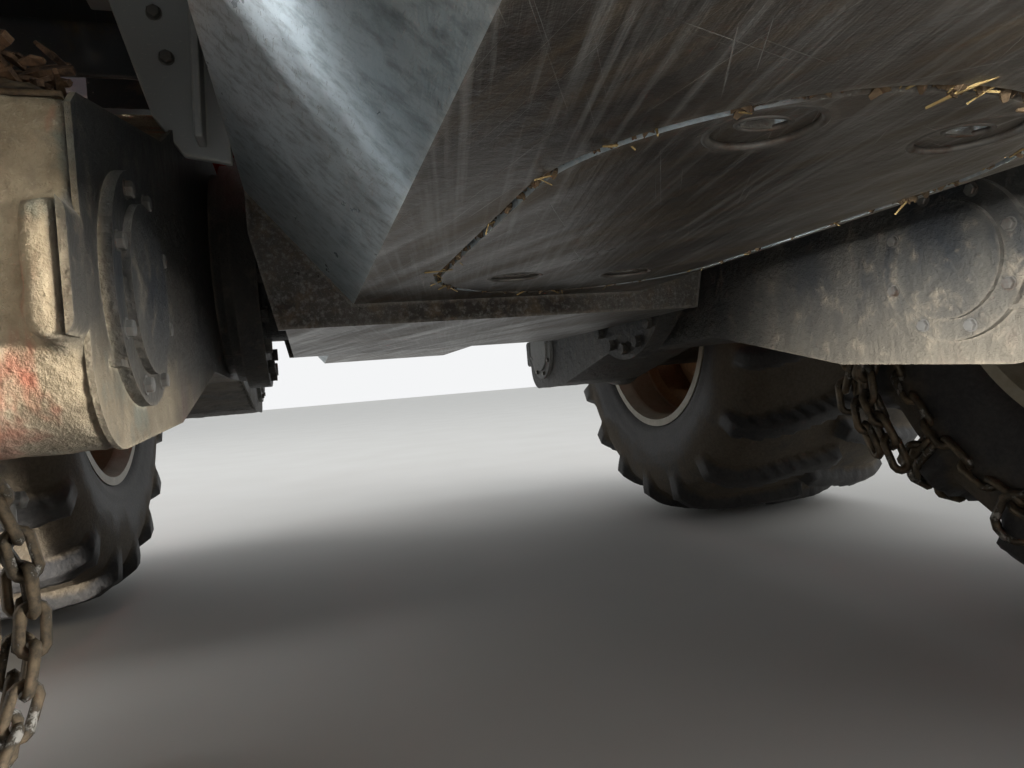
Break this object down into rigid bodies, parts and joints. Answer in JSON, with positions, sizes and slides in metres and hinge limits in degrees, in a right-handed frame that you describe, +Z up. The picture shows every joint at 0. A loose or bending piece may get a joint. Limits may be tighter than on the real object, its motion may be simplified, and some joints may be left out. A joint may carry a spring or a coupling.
{
  "type": "forestry forwarder, eight wheels, articulated, with a log crane",
  "caption": "Articulated forestry forwarder with bogie axles, cab, log bunks with stakes, and a slewing crane with a grapple; standing as parked.",
  "frame": {"origin": "on the ground, at the centre of the machine's length and width, below the crane's pillar", "axes": "+Z up, +Y towards the rear bumper, +X towards the machine's left side"},
  "size_m": [3.052, 9.6, 4.2915],
  "materials": {
    "frame_paint": "matte",
    "belly_steel": "satin",
    "hatch_steel": "satin",
    "cast_mud": "matte",
    "body_red": "gloss",
    "cab_white": "gloss",
    "crane_paint": "satin",
    "glass": "gloss",
    "seat_cloth": "matte",
    "dark_plastic": "matte",
    "lamp_lens": "gloss",
    "exhaust_steel": "satin",
    "engine_iron": "matte",
    "cylinder_black": "satin",
    "rod_chrome": "polished",
    "tyre_rubber": "matte",
    "rim_paint": "satin"
  },
  "bodies": {
    "front_frame": {"front_frame": "frame_paint", "belly_pan": "belly_steel", "belly_hatch": "hatch_steel", "engine": "engine_iron", "front_axle": "cast_mud", "front_bogies": "cast_mud", "fenders": "dark_plastic", "cab_shell": "cab_white", "cab_roof": "body_red", "cab_glass": "glass", "seat": "seat_cloth", "console": "dark_plastic", "side_tanks": "frame_paint", "steps": "frame_paint", "lamps_front": "lamp_lens", "exhaust": "exhaust_steel"},
    "rear_frame": {"rear_frame": "body_red", "rear_bumper": "frame_paint", "rear_axle": "cast_mud", "rear_bogies": "cast_mud", "headboard": "frame_paint", "bunks": "frame_paint", "slew_base": "body_red", "lamps_rear": "lamp_lens"},
    "hood": {"hood": "body_red"},
    "cab_door": {"cab_door": "cab_white", "door_glass": "glass"},
    "pillar": {"pillar": "crane_paint"},
    "lift_boom": {"lift_boom": "crane_paint"},
    "jib": {"jib": "crane_paint"},
    "telescope": {"telescope": "crane_paint"},
    "link": {"link": "frame_paint"},
    "grapple_head": {"grapple_head": "crane_paint"},
    "jaw_left": {"jaw_left": "crane_paint"},
    "jaw_right": {"jaw_right": "crane_paint"},
    "lift_barrel": {"lift_barrel": "cylinder_black"},
    "lift_rod": {"lift_rod": "rod_chrome"},
    "jib_barrel": {"jib_barrel": "cylinder_black"},
    "jib_rod": {"jib_rod": "rod_chrome"},
    "steer_barrel_left": {"steer_barrel_left": "cylinder_black"},
    "steer_rod_left": {"steer_rod_left": "rod_chrome"},
    "steer_barrel_right": {"steer_barrel_right": "cylinder_black"},
    "steer_rod_right": {"steer_rod_right": "rod_chrome"},
    "wheel_fl1": {"tyre_fl1": "tyre_rubber", "rim_fl1": "rim_paint"},
    "wheel_fl2": {"tyre_fl2": "tyre_rubber", "rim_fl2": "rim_paint"},
    "wheel_fr1": {"tyre_fr1": "tyre_rubber", "rim_fr1": "rim_paint"},
    "wheel_fr2": {"tyre_fr2": "tyre_rubber", "rim_fr2": "rim_paint"},
    "wheel_rl1": {"tyre_rl1": "tyre_rubber", "rim_rl1": "rim_paint"},
    "wheel_rl2": {"tyre_rl2": "tyre_rubber", "rim_rl2": "rim_paint"},
    "wheel_rr1": {"tyre_rr1": "tyre_rubber", "rim_rr1": "rim_paint"},
    "wheel_rr2": {"tyre_rr2": "tyre_rubber", "rim_rr2": "rim_paint"}
  },
  "joints": [
    {"name": "roll_fl1", "type": "hinge", "parent": "front_frame", "child": "wheel_fl1", "pos_m": [1.155, -3.8, 0.665], "axis": [1, 0, 0], "continuous": true},
    {"name": "roll_fl2", "type": "hinge", "parent": "front_frame", "child": "wheel_fl2", "pos_m": [1.155, -2.3, 0.665], "axis": [1, 0, 0], "continuous": true},
    {"name": "roll_fr1", "type": "hinge", "parent": "front_frame", "child": "wheel_fr1", "pos_m": [-1.155, -3.8, 0.665], "axis": [1, 0, 0], "continuous": true},
    {"name": "roll_fr2", "type": "hinge", "parent": "front_frame", "child": "wheel_fr2", "pos_m": [-1.155, -2.3, 0.665], "axis": [1, 0, 0], "continuous": true},
    {"name": "roll_rl1", "type": "hinge", "parent": "rear_frame", "child": "wheel_rl1", "pos_m": [1.155, 1.35, 0.665], "axis": [1, 0, 0], "continuous": true},
    {"name": "roll_rl2", "type": "hinge", "parent": "rear_frame", "child": "wheel_rl2", "pos_m": [1.155, 2.85, 0.665], "axis": [1, 0, 0], "continuous": true},
    {"name": "roll_rr1", "type": "hinge", "parent": "rear_frame", "child": "wheel_rr1", "pos_m": [-1.155, 1.35, 0.665], "axis": [1, 0, 0], "continuous": true},
    {"name": "roll_rr2", "type": "hinge", "parent": "rear_frame", "child": "wheel_rr2", "pos_m": [-1.155, 2.85, 0.665], "axis": [1, 0, 0], "continuous": true},
    {"name": "steering", "type": "hinge", "parent": "front_frame", "child": "rear_frame", "pos_m": [0, -1.15, 0.89], "axis": [0, 0, -1], "range_deg": [-42, 42]},
    {"name": "steer_cylinder_swing_left", "type": "hinge", "parent": "front_frame", "child": "steer_barrel_left", "pos_m": [0.26, -1.6, 1.125], "axis": [0, 0, -1], "range_deg": [-14.71, 14.71]},
    {"name": "steer_cylinder_stroke_left", "type": "slide", "parent": "steer_barrel_left", "child": "steer_rod_left", "axis": [-0.0286, 0.9996, 0], "range_m": [-0.1784, 0.1784]},
    {"name": "steer_cylinder_swing_right", "type": "hinge", "parent": "front_frame", "child": "steer_barrel_right", "pos_m": [-0.26, -1.6, 1.125], "axis": [0, 0, -1], "range_deg": [-14.71, 14.71]},
    {"name": "steer_cylinder_stroke_right", "type": "slide", "parent": "steer_barrel_right", "child": "steer_rod_right", "axis": [0.0286, 0.9996, 0], "range_m": [-0.1784, 0.1784]},
    {"name": "door_hinge", "type": "hinge", "parent": "front_frame", "child": "cab_door", "pos_m": [0.768, -2.434, 2.4], "axis": [0, 0, -1], "range_deg": [0, 85]},
    {"name": "hood_hinge", "type": "hinge", "parent": "front_frame", "child": "hood", "pos_m": [0, -4.7, 1.105], "axis": [1, 0, 0], "range_deg": [0, 50]},
    {"name": "slew", "type": "hinge", "parent": "rear_frame", "child": "pillar", "pos_m": [0, 0, 1.64], "axis": [0, 0, 1], "range_deg": [-165, 165]},
    {"name": "boom_lift", "type": "hinge", "parent": "pillar", "child": "lift_boom", "pos_m": [0, 0, 3], "axis": [-1, 0, 0], "range_deg": [-51, 9]},
    {"name": "jib_fold", "type": "hinge", "parent": "lift_boom", "child": "jib", "pos_m": [0, 2.42089, 4.07785], "axis": [1, 0, 0], "range_deg": [-75, 25]},
    {"name": "telescope_reach", "type": "slide", "parent": "jib", "child": "telescope", "axis": [0, 0.9848, -0.1736], "range_m": [0, 1.2]},
    {"name": "link_swing", "type": "hinge", "parent": "telescope", "child": "link", "pos_m": [0, 4.29203, 3.74792], "axis": [1, 0, 0], "range_deg": [-45, 45]},
    {"name": "rotator", "type": "hinge", "parent": "link", "child": "grapple_head", "pos_m": [0, 4.29203, 3.26792], "axis": [0, 0, 1], "continuous": true},
    {"name": "grapple_open", "type": "hinge", "parent": "grapple_head", "child": "jaw_left", "pos_m": [0.11, 4.29203, 3.09792], "axis": [0, -1, 0], "range_deg": [0, 50]},
    {"name": "grapple_open_right", "type": "hinge", "parent": "grapple_head", "child": "jaw_right", "pos_m": [-0.11, 4.29203, 3.09792], "axis": [0, 1, 0], "range_deg": [0, 50]},
    {"name": "lift_cylinder_swing", "type": "hinge", "parent": "pillar", "child": "lift_barrel", "pos_m": [0, 0.27, 2.15], "axis": [-1, 0, 0], "range_deg": [-19.64, 3.51]},
    {"name": "lift_cylinder_stroke", "type": "slide", "parent": "lift_barrel", "child": "lift_rod", "axis": [0, 0.4399, 0.898], "range_m": [-0.0834, 0.47]},
    {"name": "jib_cylinder_swing", "type": "hinge", "parent": "lift_boom", "child": "jib_barrel", "pos_m": [0, 1.31838, 3.84969], "axis": [1, 0, 0], "range_deg": [-1.56, 0.55]},
    {"name": "jib_cylinder_stroke", "type": "slide", "parent": "jib_barrel", "child": "jib_rod", "axis": [0, 0.9253, 0.3793], "range_m": [-0.0903, 0.2698]}
  ],
  "couplings": [
    {"joint": "steer_cylinder_swing_left", "follows": "steering", "ratio": 0.3491},
    {"joint": "steer_cylinder_stroke_left", "follows": "steering", "m_per_rad": -0.2427},
    {"joint": "steer_cylinder_swing_right", "follows": "steering", "ratio": 0.3491},
    {"joint": "steer_cylinder_stroke_right", "follows": "steering", "m_per_rad": 0.2427},
    {"joint": "grapple_open_right", "follows": "grapple_open", "ratio": 1},
    {"joint": "lift_cylinder_swing", "follows": "boom_lift", "ratio": 0.3841},
    {"joint": "lift_cylinder_stroke", "follows": "boom_lift", "m_per_rad": -0.5275},
    {"joint": "jib_cylinder_swing", "follows": "jib_fold", "ratio": 0.0201},
    {"joint": "jib_cylinder_stroke", "follows": "jib_fold", "m_per_rad": -0.2057}
  ]
}
